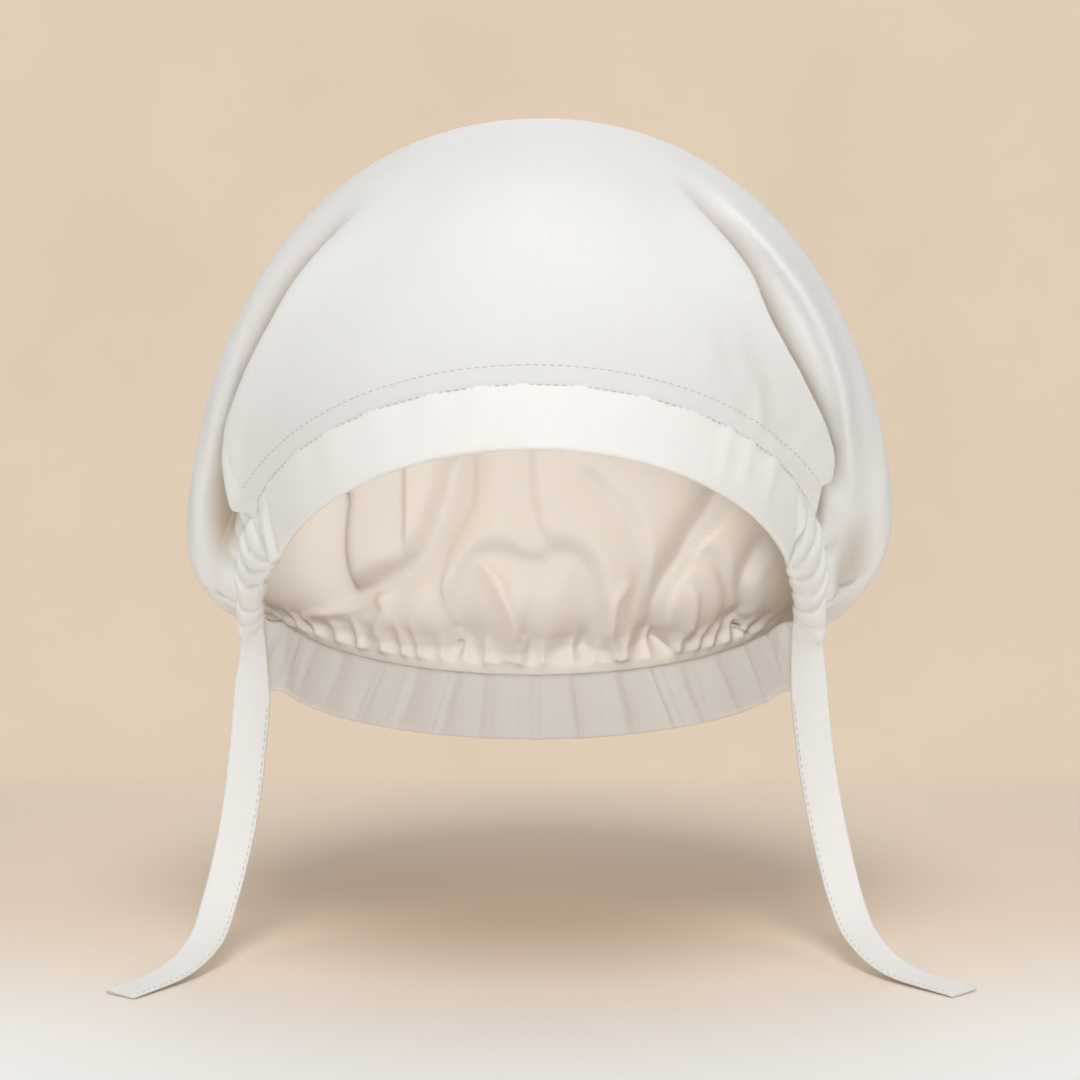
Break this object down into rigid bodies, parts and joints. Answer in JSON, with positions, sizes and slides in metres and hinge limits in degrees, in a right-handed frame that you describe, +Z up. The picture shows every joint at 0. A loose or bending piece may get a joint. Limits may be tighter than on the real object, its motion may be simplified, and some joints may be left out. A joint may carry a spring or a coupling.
{
  "type": "silk sleep cap",
  "caption": "Soft full sleep cap with a plain front band over the brow, ruched side casings, an elastic nape and two hanging tie ends, lined with glossy silk.",
  "frame": {"origin": "middle of the head opening, level with its two sides, where the head is seated", "axes": "+Z up over the crown, -Y the way the face looks, +X to the right when the cap is seen from the front"},
  "size_m": [0.2794, 0.211, 0.2787],
  "materials": {
    "sateen": "ivory silk sateen, soft low sheen",
    "silk_satin": "champagne silk satin, glossy"
  },
  "bodies": {
    "root": {"crown": "sateen", "lining": "silk_satin", "front_band": "sateen", "elastic_band": "sateen", "side_casing_left": "sateen", "side_casing_right": "sateen", "tie_left": "sateen", "tie_right": "sateen"}
  },
  "joints": []
}
